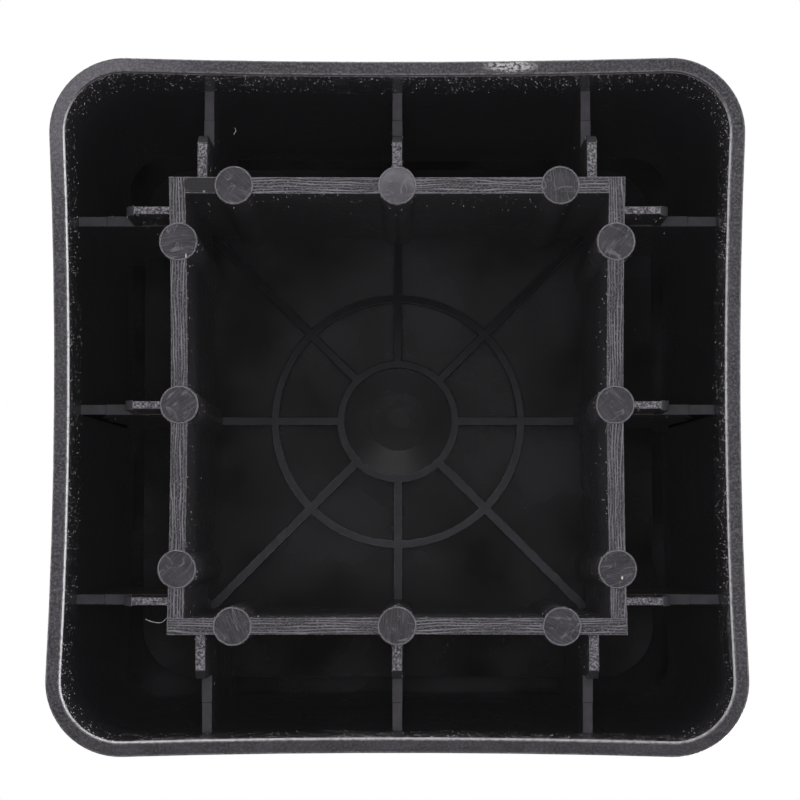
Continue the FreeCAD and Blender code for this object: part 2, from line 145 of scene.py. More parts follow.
# How far down a look goes where the pale room is dimmest, and where it is at full strength
STRAIGHT_DOWN = -0.97
SIDEWAYS = -0.35

# The floor is whole inside the first distance from its middle and gone beyond the second
FLOOR_FADE = (0.18, 0.45)

# The camera stands below the floor and looks up
CAMERA_PLACE = (-1.37 * MM, -28 * MM, -518.7 * MM)
CAMERA_AIM = (0.00154, 0.0558, 1.0)

FINISHES = (
    "outer_skin_fine_grain", "foot_rim_rubbed", "foot_lead_burnished", "wall_ends_milled",
    "post_ends_turned", "blade_edges_sparked", "blade_tips_cut", "rib_edges_smooth",
    "hollow_walls_gloss", "seat_underside_satin", "web_edges_smooth", "leg_recess_satin",
    "edges_rounded",
)
FLAT_FINISHES = (
    "foot_rim_rubbed", "wall_ends_milled", "post_ends_turned", "blade_edges_sparked", "blade_tips_cut",
    "rib_edges_smooth", "web_edges_smooth",
)


class RiserFinishSettings(PropertyGroup):
    """How the plastic looks."""
    plastic: FloatVectorProperty(
        name="Plastic", description="Colour of the black plastic", subtype="COLOR",
        size=3, min=0, max=1, default=(0.0205, 0.0193, 0.0222))
    pale: FloatVectorProperty(
        name="Rubbed plastic", description="Colour of plastic that is scratched or rubbed", subtype="COLOR",
        size=3, min=0, max=1, default=(0.152, 0.144, 0.163))
    edge_round: FloatProperty(
        name="Edge rounding", description="Width of the rounding on the moulding's edges",
        default=0.16 * MM, min=0, max=1 * MM, precision=5, unit="LENGTH")
    witness: FloatProperty(
        name="Pin line", description="Thickness of the raised line round each pin mark",
        default=0.1 * MM, min=0.02 * MM, max=0.1 * MM, precision=5, unit="LENGTH")


class RiserDustSettings(PropertyGroup):
    """Dust and lint that lie on the plastic."""
    density: FloatProperty(
        name="Density", description="Specks on a square metre of the dustiest places",
        default=1700000, min=0, max=9000000)
    speck: FloatProperty(
        name="Speck", description="Radius of a common speck",
        default=0.052 * MM, min=0.01 * MM, max=0.5 * MM, precision=6, unit="LENGTH")
    seed: IntProperty(name="Seed", description="Choice of the random layout", default=7, min=0)
    thread: FloatProperty(
        name="Thread", description="Thickness of a thread of lint",
        default=0.12 * MM, min=0.01 * MM, max=1 * MM, precision=5, unit="LENGTH")
    colour: FloatVectorProperty(
        name="Dust", description="Colour of the dust", subtype="COLOR",
        size=3, min=0, max=1, default=(0.40, 0.385, 0.40))


class RiserStageSettings(PropertyGroup):
    """Floor, camera and light."""
    floor_width: FloatProperty(
        name="Floor", description="Width of the floor", default=3.0, min=0.5, max=20, unit="LENGTH")
    focal: FloatProperty(
        name="Focal length", description="Focal length of the camera, in millimetres", default=117.0,
        min=20, max=300)
    key: FloatProperty(
        name="Key light", description="Power of the light behind the foot, in watts",
        default=1.6, min=0, max=500)
    fill: FloatProperty(
        name="Side light", description="Power of the lights beside the foot, in watts",
        default=1.4, min=0, max=500)
    front: FloatProperty(
        name="Front light", description="Power of the light from the camera's side, in watts",
        default=1.3, min=0, max=500)
    top: FloatProperty(
        name="Top light", description="Power of the lights above the recess, in watts",
        default=16.0, min=0, max=500)
    ambient: FloatProperty(
        name="Ambient", description="Strength of the light from all sides", default=0.5, min=0, max=5)
    below: FloatProperty(
        name="Below", description="Strength of the light from straight below",
        default=0.16, min=0, max=5)


class Tree:
    """A node tree, with short calls for the nodes that it needs."""

    def __init__(self, tree):
        self.tree = tree

    def node(self, kind, sockets=None, **settings):
        """A node with its properties set, and its sockets linked or set."""
        made = self.tree.nodes.new(kind)
        for name, value in settings.items():
            setattr(made, name, value)
        for name, value in (sockets or {}).items():
            self.join(value, made.inputs[name])
        return made

    def join(self, source, target):
        """Link a socket, or set a plain value."""
        if isinstance(source, bpy.types.NodeSocket):
            self.tree.links.new(source, target)
        else:
            target.default_value = source

    def noise(self, vector, scale=1.0, detail=3.0, rough=0.5):
        """Noise from 0 to 1, about 0.5."""
        sockets = {"Vector": vector, "Scale": scale, "Detail": detail, "Roughness": rough}
        return self.node("ShaderNodeTexNoise", sockets).outputs["Fac"]

    def ramp(self, value, low, high, to_low=0.0, to_high=1.0):
        """A value carried over from one range to another, and held inside it."""
        sockets = {"Value": value, "From Min": low, "From Max": high, "To Min": to_low, "To Max": to_high}
        return self.node("ShaderNodeMapRange", sockets, clamp=True).outputs["Result"]

    def step(self, kind, first, second=0.0):
        """One step of arithmetic."""
        return self.node("ShaderNodeMath", {0: first, 1: second}, operation=kind).outputs[0]

    def split(self, vector):
        """The three parts of a vector."""
        return self.node("ShaderNodeSeparateXYZ", {0: vector}).outputs

    def reach(self, parts):
        """How far out a place is along X or along Y, whichever is more."""
        return self.most(self.step("ABSOLUTE", parts["X"]), self.step("ABSOLUTE", parts["Y"]))

    def most(self, *values):
        """The largest of several values."""
        found = values[0]
        for value in values[1:]:
            found = self.step("MAXIMUM", found, value)
        return found

    def product(self, *values):
        """Several values multiplied."""
        found = values[0]
        for value in values[1:]:
            found = self.step("MULTIPLY", found, value)
        return found


class Finish(Tree):
    """The material of one finish."""

    def __init__(self, name):
        self.material = bpy.data.materials.new(name)
        self.material.use_nodes = True
        super().__init__(self.material.node_tree)
        self.tree.nodes.clear()
        self.shader = self.node("ShaderNodeBsdfPrincipled")
        self.output = self.node("ShaderNodeOutputMaterial", {"Surface": self.shader.outputs["BSDF"]})
        self.place = self.node("ShaderNodeTexCoord").outputs["Object"]

    def in_mm(self, scale=(1, 1, 1), turn=0.0, source=None, shift=(0, 0, 0)):
        """Coordinates in millimetres, turned about Z by degrees and then stretched."""
        turned = self.node("ShaderNodeMapping", {"Vector": source or self.place})
        turned.inputs["Rotation"].default_value[2] = math.radians(turn)
        turned.inputs["Scale"].default_value = (1 / MM,) * 3 if source is None else (1, 1, 1)
        stretched = self.node("ShaderNodeMapping", {"Vector": turned.outputs["Vector"]})
        stretched.inputs["Scale"].default_value = scale
        stretched.inputs["Location"].default_value = shift
        return stretched.outputs["Vector"]

    def spot(self, x, y, half_x, half_y, soft=0.2):
        """1 inside an ellipse about a place in plan, 0 outside it, with a soft border. Millimetres."""
        place = self.in_mm((1 / half_x, 1 / half_y, 0), 0, None, (-x / half_x, -y / half_y, 0))
        reach = self.node("ShaderNodeVectorMath", {0: place}, operation="LENGTH").outputs["Value"]
        return self.ramp(reach, 1 - soft, 1 + soft, 1.0, 0.0)

    def blend(self, share, first, second):
        """A colour between two others."""
        made = self.node("ShaderNodeMix", {"Factor": share}, data_type="RGBA")
        for value, socket in ((first, made.inputs[6]), (second, made.inputs[7])):
            self.join((*value, 1.0) if isinstance(value, tuple) else value, socket)
        return made.outputs[2]

    def bump(self, height, depth, below=None):
        """A surface raised by a height from 0 to 1 times a depth in metres."""
        made = self.node("ShaderNodeBump")
        made.inputs["Strength"].default_value = 1.0
        made.inputs["Distance"].default_value = depth
        self.join(height, made.inputs["Height"])
        if below is not None:
            self.join(below, made.inputs["Normal"])
        return made.outputs["Normal"]

    def contours(self, value, thin=0.03):
        """Thin lines, from 0 to 1, along which a noise crosses its middle value."""
        away = self.step("ABSOLUTE", self.step("SUBTRACT", value, 0.5))
        return self.ramp(away, 0.0, thin, 1.0, 0.0)

    def hairlines(self, turn, length=14.0, apart=1.6, thin=0.035, cover=0.5, source=None, seed=0.0):
        """Long thin scratches in one direction, from 0 to 1, broken off where a second noise is low."""
        shift = (seed, seed * 0.7, 0)
        lines = self.noise(self.in_mm((1 / length, 1 / apart, 1 / length), turn, source, shift), 1.0, 1.0)
        gate = self.noise(self.in_mm((1 / 4, 1 / 2, 1 / 4), turn, source, shift), 1.0, 1.0)
        return self.step("MULTIPLY", self.contours(lines, thin), self.ramp(gate, cover, cover + 0.06))

    def wear(self, **sockets):
        """Set or link the shader's sockets by name."""
        for name, value in sockets.items():
            socket = self.shader.inputs[name.replace("_", " ")]
            self.join((*value, 1.0) if isinstance(value, tuple) else value, socket)
        return self.material


def scaled(colour, share):
    """A colour made lighter or darker."""
    return tuple(part * share for part in colour)


class Growth(Tree):
    """A geometry tree with named inputs, which ends in real faces of one material."""

    def __init__(self, name):
        super().__init__(bpy.data.node_groups.new(name, "GeometryNodeTree"))
        for way in ("INPUT", "OUTPUT"):
            self.tree.interface.new_socket(name="Geometry", in_out=way, socket_type="NodeSocketGeometry")
        self.start = self.node("NodeGroupInput")
        self.place = self.node("GeometryNodeInputPosition").outputs["Position"]
        self.values = {}

    def input(self, name, kind, value):
        """A named input of the tree, and the value that the modifier gives it."""
        socket = self.tree.interface.new_socket(name=name, in_out="INPUT", socket_type=f"NodeSocket{kind}")
        self.values[socket.identifier] = value
        return self.start.outputs[name]

    def chance(self, low, high, seed):
        """A random number for each copy."""
        sockets = {2: low, 3: high, "Seed": seed}
        return self.node("FunctionNodeRandomValue", sockets, data_type="FLOAT").outputs[1]

    def grow(self, piece, geometry, material):
        """Put the tree on a piece, work it out and leave a plain mesh."""
        real = self.node("GeometryNodeRealizeInstances", {"Geometry": geometry}).outputs["Geometry"]
        painted = self.node("GeometryNodeSetMaterial", {"Geometry": real, "Material": material})
        self.node("NodeGroupOutput", {0: painted.outputs["Geometry"]})
        modifier = piece.modifiers.new(self.tree.name, "NODES")
        modifier.node_group = self.tree
        for identifier, value in self.values.items():
            modifier[identifier] = value
        return made_plain(piece)


def outer_skin(name, plastic, pale):
    """Fine even grain, with a few scuffs near the foot and the top rim."""
    made = Finish(name)
    grain = made.noise(made.in_mm(), 2.6, 2.0)
    cloud = made.noise(made.in_mm(), 0.05, 3.0)
    height = made.split(made.in_mm())["Z"]
    near_foot = made.ramp(height, 0.0, 6.0, 1.0, 0.0)
    near_top = made.ramp(height, 88.0, 94.0)
    reach = made.most(near_foot, near_top)
    scuffs = made.most(made.hairlines(8, 14, 2.2, seed=3), made.hairlines(-31, 10, 1.8, seed=8))
    paled = made.product(scuffs, reach, 0.18)
    tone = made.blend(cloud, scaled(plastic, 0.85), scaled(plastic, 1.2))
    return made.wear(
        Base_Color=made.blend(paled, tone, pale),
        Roughness=0.56, Specular_IOR_Level=0.2,
        Normal=made.bump(grain, 0.03 * MM))


def foot_rim(name, plastic, pale):
    """Flat rubbed rim: fine grain, nicks and scratches, a painted highlight on one corner, painted shade
    towards -Y, a scuff on the +Y side.
    """
    made = Finish(name)
    scratches = made.most(
        made.hairlines(12, 12, 1.4, 0.02, seed=1), made.hairlines(-48, 8, 1.6, 0.02, seed=4))
    grain = made.ramp(made.noise(made.in_mm(), 1.9, 3.0, 0.8), 0.46, 0.64)
    nicks = made.ramp(made.noise(made.in_mm(), 1.6, 3.0, 0.7), 0.655, 0.68)
    cloud = made.ramp(made.noise(made.in_mm(), 0.20, 3.0), 0.35, 0.65)
    flakes = made.ramp(made.noise(made.in_mm((0.8, 1.6, 1)), 1.5, 4.0, 0.7), 0.46, 0.52)
    scuffed = made.most(made.product(made.spot(*RIM_SCUFF, 0.35), flakes), made.spot(*RIM_FLAKE))
    marks = made.most(made.product(scratches, 0.4), made.product(grain, 0.55), nicks)
    # Painted shade weakens the marks towards -Y, and painted light lifts the corner at +X +Y.
    painted_side_shade = made.ramp(made.split(made.in_mm())["Y"], -68, -52, 0.45, 1.0)
    corner = made.product(made.spot(*RIM_LIT_CORNER, 0.5), 0.42)
    painted_light_mix = made.step("ADD", made.product(marks, painted_side_shade), corner)
    tone = made.blend(cloud, scaled(plastic, 1.4), scaled(plastic, 2.1))
    return made.wear(
        Base_Color=made.blend(scuffed, made.blend(painted_light_mix, tone, scaled(pale, 1.3)), WHITENED),
        Roughness=made.ramp(cloud, 0, 1, 0.42, 0.54),
        Normal=made.bump(grain, 0.02 * MM))


def side_highlight(made):
    """How much painted highlight the inner edge of the foot takes: most on +X, less on -X and -Y, none on
    +Y.
    """
    parts = made.split(made.in_mm())
    return made.product(
        made.ramp(parts["X"], -60, 62, 0.55, 1.0), made.ramp(parts["Y"], 52, 64, 1.0, 0.0),
        made.ramp(parts["Y"], -64, -56, 0.65, 1.0))


def foot_lead(name, plastic, pale):
    """Narrow slope inside the foot, with a painted highlight on three sides."""
    made = Finish(name)
    uneven = made.ramp(made.noise(made.in_mm(), 1.1, 3.0), 0.34, 0.5, 0.55, 1.0)
    # A painted highlight: the slope is paler on the sides that the low lamps light.
    share = made.product(side_highlight(made), uneven)
    return made.wear(Base_Color=made.blend(share, scaled(plastic, 1.5), PAINTED_LEAD_HIGHLIGHT), Roughness=0.3)


def wall_ends(name, plastic, pale):
    """Milled ridges along each side of the inner wall, with one smooth patch."""
    made = Finish(name)
    parts = made.split(made.in_mm())
    # The ridges of the -Y side run through to its corners, and those of the X sides end on them
    beside = made.step("GREATER_THAN", made.step("ABSOLUTE", parts["X"]), WALL_INSIDE / MM)
    on_x_side = made.step("MULTIPLY", beside, made.step("GREATER_THAN", parts["Y"], -WALL_INSIDE / MM))
    turned = made.node("ShaderNodeCombineXYZ", {"X": parts["Y"], "Y": parts["X"]}).outputs[0]
    sockets = {"Factor": on_x_side, 4: made.in_mm(), 5: turned}
    run = made.node("ShaderNodeMix", sockets, data_type="VECTOR").outputs[1]
    across = made.split(run)["Y"]
    sway = made.noise(made.in_mm((0.07, 0.35, 0), 0, run), 1.0, 2.0)
    phase = made.step("ADD", made.step("MULTIPLY", across, 1.75), made.step("MULTIPLY", sway, 3.2))
    wave = made.step("SINE", made.step("MULTIPLY", phase, 2 * math.pi))
    weak = made.noise(made.in_mm((0.12, 1.2, 0), 0, run, (17, 5, 0)), 1.0, 2.0)
    strength = made.ramp(weak, 0.36, 0.60)
    ridges = made.product(made.ramp(wave, -0.2, 1.0), made.ramp(strength, 0.0, 1.0, 0.25, 1.0))
    flecks = made.ramp(made.noise(made.in_mm((1.2, 2.4, 0), 0, run), 1.5, 3.0, 0.8), 0.50, 0.66)
    smooth = made.ramp(made.spot(*SMOOTH_PATCH, 0.08), 0.0, 1.0, 1.0, 0.06)
    share = made.product(made.most(ridges, made.product(flecks, 0.9)), smooth)
    share = made.most(share, made.product(made.spot(*PATCH_FLECK), 4.0))
    return made.wear(
        Base_Color=made.blend(share, scaled(plastic, 1.1), scaled(pale, 1.45)),
        Roughness=made.ramp(share, 0.0, 1.0, 0.46, 0.36),
        Normal=made.bump(share, 0.04 * MM))


def post_ends(name, plastic, pale):
    """Pin marks on the posts: turned and dragged scratches, a little different on each."""
    made = Finish(name)
    local = made.node("ShaderNodeAttribute", attribute_name="post_place").outputs["Vector"]
    swirl = made.node("ShaderNodeTexNoise", {"Vector": local, "Scale": 0.35}).outputs["Color"]
    sockets = {0: swirl, 1: (1.6, 1.6, 0.0), 2: local}
    bent = made.node("ShaderNodeVectorMath", sockets, operation="MULTIPLY_ADD").outputs["Vector"]
    drags = made.most(
        made.hairlines(40, 12, 1.5, 0.022, 0.44, bent), made.hairlines(-55, 7, 1.7, 0.022, 0.48, bent, 5))
    fine = made.noise(made.in_mm((0.16, 5.5, 0), 33, local), 1.0, 2.0)
    cloud = made.ramp(made.noise(local, 0.35, 3.0), 0.35, 0.65)
    speckle = made.ramp(made.noise(local, 2.0, 3.0, 0.7), 0.62, 0.68)
    share = made.most(
        made.product(drags, 0.7), made.product(speckle, 0.7), made.ramp(fine, 0.46, 0.70, 0, 0.34))
    tone = made.blend(cloud, scaled(plastic, 1.5), scaled(plastic, 2.3))
    # The far middle post takes painted light, strongest along its +Y edge, and two others hold a pale chip
    behind = made.product(
        made.spot(*FAR_POST), made.ramp(made.spot(*FAR_POST_DARK_SIDE, 0.3), 0, 1, 0.75, 0.3))
    painted_light_mix = made.blend(made.product(behind, made.ramp(cloud, 0, 1, 0.6, 1)), tone, scaled(pale, 1.2))
    chips = made.most(*(made.spot(*chip) for chip in POST_CHIPS))
    scraped = made.blend(share, painted_light_mix, scaled(pale, 1.25))
    return made.wear(
        Base_Color=made.blend(chips, scraped, CHIPPED),
        Roughness=made.ramp(cloud, 0.0, 1.0, 0.40, 0.50),
        Normal=made.bump(made.step("SUBTRACT", made.noise(local, 2.0, 2.0), drags), 0.010 * MM))


def blade_edges(name, plastic, pale):
    """Sandy texture that spark erosion leaves at the bottom of a narrow slot."""
    made = Finish(name)
    grit = made.noise(made.in_mm(), 2.2, 3.0, 0.85)
    peaks = made.ramp(grit, 0.44, 0.60)
    return made.wear(
        Base_Color=made.blend(peaks, scaled(plastic, 1.2), scaled(pale, 1.8)),
        Roughness=0.5,
        Normal=made.bump(grit, 0.08 * MM))


def smooth_edge(name, plastic, shares, axis, bounds):
    """Plain smooth edge of a rib or web, a little cloudy, with painted light that makes it darker or paler
    along one axis.
    """
    made = Finish(name)
    cloud = made.ramp(made.noise(made.in_mm(), 0.5, 3.0), 0.3, 0.7, 0.85, 1.15)
    place = made.split(made.in_mm())[axis]
    if bounds[0] >= 0:
        place = made.step("ABSOLUTE", place)
    light = made.ramp(place, *bounds)
    low, high = (scaled(plastic, share) for share in shares)
    sockets = {0: made.blend(light, low, high), 3: cloud}
    tone = made.node("ShaderNodeVectorMath", sockets, operation="SCALE").outputs["Vector"]
    return made.wear(
        Base_Color=tone, Roughness=0.43,
        Normal=made.bump(made.noise(made.in_mm(), 3.0, 2.0), 0.006 * MM))


def blade_tips(name, plastic, pale):
    """Sloped tips of the blades."""
    return smooth_edge(name, plastic, (1.5, 1.5), "Z", (0, 1))


def rib_shoulders(name, plastic, pale):
    """Edges of the rib shoulders, with painted light that makes the two Y sides paler."""
    return smooth_edge(name, plastic, (2.7, 3.8), "Y", (40, 50))


def web_edges(name, plastic, pale):
    """Edges of the webs under the seat, with painted light that makes them paler towards -Y."""
    return smooth_edge(name, plastic, (2.8, 0.5), "Y", (-28, 28))


def hollow_walls(name, plastic, pale):
    """Glossy inner walls with faint drag lines along the draw of the mould.

    Stray light lifts the deep black of the hollow a little, which a faint glow stands for.
    """
    made = Finish(name)
    drag = made.noise(made.in_mm((1.8, 1.8, 0.03)), 1.0, 2.0)
    cloud = made.noise(made.in_mm(), 0.06, 3.0)
    film = made.ramp(made.noise(made.in_mm(), 0.35, 4.0, 0.7), 0.55, 0.80)
    tone = made.blend(cloud, scaled(plastic, 1.0), scaled(plastic, 1.5))
    return made.wear(
        Base_Color=made.blend(made.step("MULTIPLY", film, 0.10), tone, pale),
        Roughness=made.ramp(cloud, 0.3, 0.7, 0.24, 0.34),
        Emission_Color=STRAY_TINT, Emission_Strength=STRAY_LIGHT,
        Normal=made.bump(drag, 0.010 * MM))


def seat_underside(name, plastic, pale):
    """Polished plate with cloudy flow marks and a thin film of dust. A painted glow of stray light lifts it,
    most in a patch towards +Y, and it is darker outside the square wall, where the glow is weaker and the
    specular level lower.
    """
    made = Finish(name)
    flow = made.ramp(made.noise(made.in_mm(), 0.045, 3.0, 0.5), 0.32, 0.68)
    film = made.ramp(made.noise(made.in_mm(), 0.6, 5.0, 0.75), 0.5, 0.85)
    tone = made.blend(flow, scaled(plastic, 0.02), scaled(plastic, 0.8))
    parts = made.split(made.in_mm())
    inside = made.ramp(made.reach(parts), 43, 46, 1.0, 0.6)
    # Painted glow of stray light, doubled in a patch towards +Y and weaker outside the square wall.
    glow_patch = made.ramp(made.spot(*PLATE_GLOW, 0.8), 0, 1, STRAY_LIGHT, 2 * STRAY_LIGHT)
    stray = made.product(glow_patch, inside)
    return made.wear(
        Base_Color=made.blend(made.step("MULTIPLY", film, 0.04), tone, pale),
        Roughness=made.ramp(flow, 0, 1, 0.20, 0.30), Specular_IOR_Level=made.product(inside, 0.5),
        Emission_Color=STRAY_TINT, Emission_Strength=stray,
        Normal=made.bump(made.noise(made.in_mm(), 1.4, 2.0), 0.003 * MM))


def leg_recess(name, plastic, pale):
    """Satin seat and walls. The seat has the faint scuffs that a leg leaves."""
    made = Finish(name)
    grain = made.noise(made.in_mm(), 2.2, 2.0)
    cloud = made.noise(made.in_mm(), 0.05, 3.0)
    scuffs = made.most(
        made.hairlines(24, 16, 3.0, seed=2), made.hairlines(-62, 12, 2.6, seed=6),
        made.hairlines(87, 9, 2.2, seed=11))
    tone = made.blend(cloud, scaled(plastic, 0.9), scaled(plastic, 1.3))
    on_seat = made.ramp(made.split(made.in_mm())["Z"], 76.4, 77.0, 0.09, 0.0)
    return made.wear(
        Base_Color=made.blend(made.product(scuffs, on_seat), tone, pale),
        Roughness=made.ramp(cloud, 0.3, 0.7, 0.40, 0.52),
        Normal=made.bump(grain, 0.02 * MM))


def edges_rounded(name, plastic, pale):
    """Roundings: rubbed pale near the floor, with a painted highlight on the inner edge of the foot and
    painted light on the webs, strongest towards -Y.
    """
    made = Finish(name)
    parts = made.split(made.in_mm())
    low = made.ramp(parts["Z"], 0.5, 1.6, 1.0, 0.0)
    nicks = made.ramp(made.noise(made.in_mm(), 1.1, 3.0), 0.36, 0.60, 0.3, 1.0)
    # Painted highlight on the inner edge of the foot, set by side as on its slope.
    inner_foot_highlight = made.product(
        made.step("GREATER_THAN", made.reach(parts), SKIRT_NEAR / MM),
        made.step("GREATER_THAN", parts["Z"], EDGE_BREAK_TOP / MM), low, side_highlight(made))
    # Painted light on the web roundings, strongest towards -Y.
    from_webs = made.step("ABSOLUTE", made.step("SUBTRACT", parts["Z"], WEB_EDGE / MM))
    webs_painted_light = made.product(
        made.ramp(from_webs, 0.3, 0.4, 1.0, 0.0), made.ramp(parts["Y"], -14, 4, 0.9, 0.0))
    # Wear near the floor and painted light on the webs make these roundings paler.
    paled = made.blend(
        made.product(made.most(low, webs_painted_light), nicks), scaled(plastic, 1.3), scaled(pale, 1.1))
    return made.wear(Base_Color=made.blend(inner_foot_highlight, paled, PAINTED_ROUND_HIGHLIGHT), Roughness=0.28)


def make_finishes(settings):
    """All finishes of the moulding, in the order of FINISHES."""
    plastic = tuple(settings.plastic)
    pale = tuple(settings.pale)
    makers = (
        outer_skin, foot_rim, foot_lead, wall_ends, post_ends, blade_edges, blade_tips, rib_shoulders,
        hollow_walls, seat_underside, web_edges, leg_recess, edges_rounded,
    )
    return [maker(name, plastic, pale) for maker, name in zip(makers, FINISHES)]


def level_with(height, level):
    """True where a height is at a level."""
    return abs(height - level) < LEVEL_NEAR


def finish_of(centre, normal):
    """Which finish a face of the moulding has, from its middle and the way it looks."""
    reach = max(abs(centre.x), abs(centre.y))
    if normal.z < LOOKS_DOWN:
        if level_with(centre.z, LOW.z):
            return "foot_rim_rubbed"
        if level_with(centre.z, POST_END):
            return "post_ends_turned"
        if level_with(centre.z, WALL_END):
            return "wall_ends_milled"
        if level_with(centre.z, BLADE_EDGE):
            return "blade_edges_sparked"
        if SHOULDER_EDGE - LEVEL_NEAR < centre.z < ROOT_EDGE + LEVEL_NEAR:
            return "rib_edges_smooth"
        if level_with(centre.z, WEB_EDGE):
            return "web_edges_smooth"
        return "seat_underside_satin"
    if normal.z < SLOPES_DOWN and reach < SKIRT_NEAR:
        if centre.z < SHOULDER_EDGE:
            return "blade_tips_cut"
        return "seat_underside_satin"
    outward = normal.x * centre.x + normal.y * centre.y > 0
    on_top = normal.z > LOOKS_UP and (reach > SKIRT_NEAR or level_with(centre.z, HIGH.z))
    if on_top or (outward and reach > SKIRT_NEAR):
        return "outer_skin_fine_grain"
    if reach > SKIRT_NEAR and centre.z < FOOT_LEAD_TOP:
        return "foot_lead_burnished"
    if centre.z > SEAT_MIDDLE and (normal.z > SLOPES_UP or reach < RECESS_INSIDE):
        return "leg_recess_satin"
    return "hollow_walls_gloss"


def is_corner(edge):
    """True where two faces meet at a clear angle."""
    return edge.is_manifold and edge.calc_face_angle() > CORNER_ANGLE


def rounding_share(edge):
    """How wide an edge's rounding is, as a share of the widest.

    Only edges that stick out, below the seat, have one.
    """
    height = (edge.verts[0].co.z + edge.verts[1].co.z) / 2
    if not is_corner(edge) or not edge.is_convex or height > SEAT_MIDDLE:
        return 0.0
    if height < NEAR_FLOOR or level_with(height, WEB_EDGE):
        return 1.0
    return 0.6 if height < ROOT_EDGE else 0.35


def merged_copy():
    """The moulding's own mesh, its points merged, and flat faces of one finish joined up.

    Its edges carry how wide they are rounded, and corners without a rounding are marked sharp.
    """
    merge = 0.002 * MM
    flat = math.radians(0.15)
    shape = bmesh.new()
    shape.from_mesh(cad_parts[NODE].data)
    bmesh.ops.remove_doubles(shape, verts=shape.verts[:], dist=merge)
    for face in shape.faces:
        finish = finish_of(face.calc_center_median(), face.normal)
        face.smooth = finish not in FLAT_FINISHES
        face.material_index = FINISHES.index(finish)
    bmesh.ops.dissolve_limit(
        shape, angle_limit=flat, verts=shape.verts[:], edges=shape.edges[:], delimit={"MATERIAL"})
    weight = shape.edges.layers.float.new("bevel_weight_edge")
    for edge in shape.edges:
        edge[weight] = rounding_share(edge)
        edge.smooth = edge[weight] > 0 or not is_corner(edge)
    mesh = bpy.data.meshes.new("riser_moulding")
    shape.to_mesh(mesh)
    shape.free()
    return mesh


def new_piece(name, mesh, materials=()):
    """An object at the origin that shows a mesh."""
    piece = bpy.data.objects.new(name, mesh)
    bpy.context.scene.collection.objects.link(piece)
    for material in materials:
        piece.data.materials.append(material)
    return piece


def made_plain(piece):
    """Turn a piece with modifiers into a plain mesh."""
    bpy.context.view_layer.update()
    graph = bpy.context.evaluated_depsgraph_get()
    mesh = bpy.data.meshes.new_from_object(
        piece.evaluated_get(graph), preserve_all_data_layers=True, depsgraph=graph)
    mesh.name = piece.name
    piece.modifiers.clear()
    piece.data = mesh
    return piece


def settle_piece(piece):
    """The piece moves with the riser."""
    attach(piece, BODY)


def post_middles(mesh):
    """The middle of each post's end face. All twelve have to be there."""
    ends = FINISHES.index("post_ends_turned")
    found = []
    for face in mesh.polygons:
        if face.material_index == ends and all((face.center - seen).length > POST_RADIUS for seen in found):
            found.append(face.center.copy())
    if len(found) != POSTS:
        raise RuntimeError(f"the moulding shows {len(found)} post ends instead of {POSTS}")
    return found


def mark_posts(mesh, middles):
    """Give each post end its own coordinates in millimetres, with a different turn on each."""
    places = mesh.attributes.new("post_place", "FLOAT_VECTOR", "CORNER")
    ends = FINISHES.index("post_ends_turned")
    for face in mesh.polygons:
        if face.material_index != ends:
            continue
        number, middle = min(enumerate(middles), key=lambda pair: (pair[1] - face.center).length)
        turn = Matrix.Rotation(POST_TURN * number, 3, "Z")
        for corner in face.loop_indices:
            point = mesh.vertices[mesh.loops[corner].vertex_index].co
            place = turn @ ((point - middle) / MM)
            places.data[corner].vector = place + Vector((0, 0, POST_SHIFT * number))


class RISER_OT_moulding(Operator):
    """Make the moulding with rounded edges and give each region its finish"""
    bl_idname = "riser.moulding"
    bl_label = "Moulding"

    def execute(self, context):
        settings = context.scene.riser_finish
        mesh = merged_copy()
        piece = new_piece("riser_moulding", mesh, make_finishes(settings))
        rounding = piece.modifiers.new("rounded edges", "BEVEL")
        rounding.width = settings.edge_round
        rounding.segments = 2
        rounding.limit_method = "WEIGHT"
        rounding.use_clamp_overlap = False
        rounding.material = FINISHES.index("edges_rounded")
        evening = piece.modifiers.new("even shading", "WEIGHTED_NORMAL")
        evening.keep_sharp = True
        made_plain(piece)
        mark_posts(piece.data, post_middles(piece.data))
        settle_piece(piece)
        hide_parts(NODE)
        return {"FINISHED"}


def even_finish(name, colour, rough):
    """A finish of one plain colour."""
    return Finish(name).wear(Base_Color=tuple(colour), Roughness=rough)


def dust_bed():
    """The walls of the hollow that reach down near the floor, as a piece for dust to settle on."""
    shape = bmesh.new()
    shape.from_mesh(merged_copy())
    walls = FINISHES.index("hollow_walls_gloss")
    far = [face for face in shape.faces
           if face.material_index != walls or min(corner.co.z for corner in face.verts) > SHOULDER_EDGE]
    bmesh.ops.delete(shape, geom=far, context="FACES")
    mesh = bpy.data.meshes.new("settled_dust")
    shape.to_mesh(mesh)
    shape.free()
    return new_piece("settled_dust", mesh)


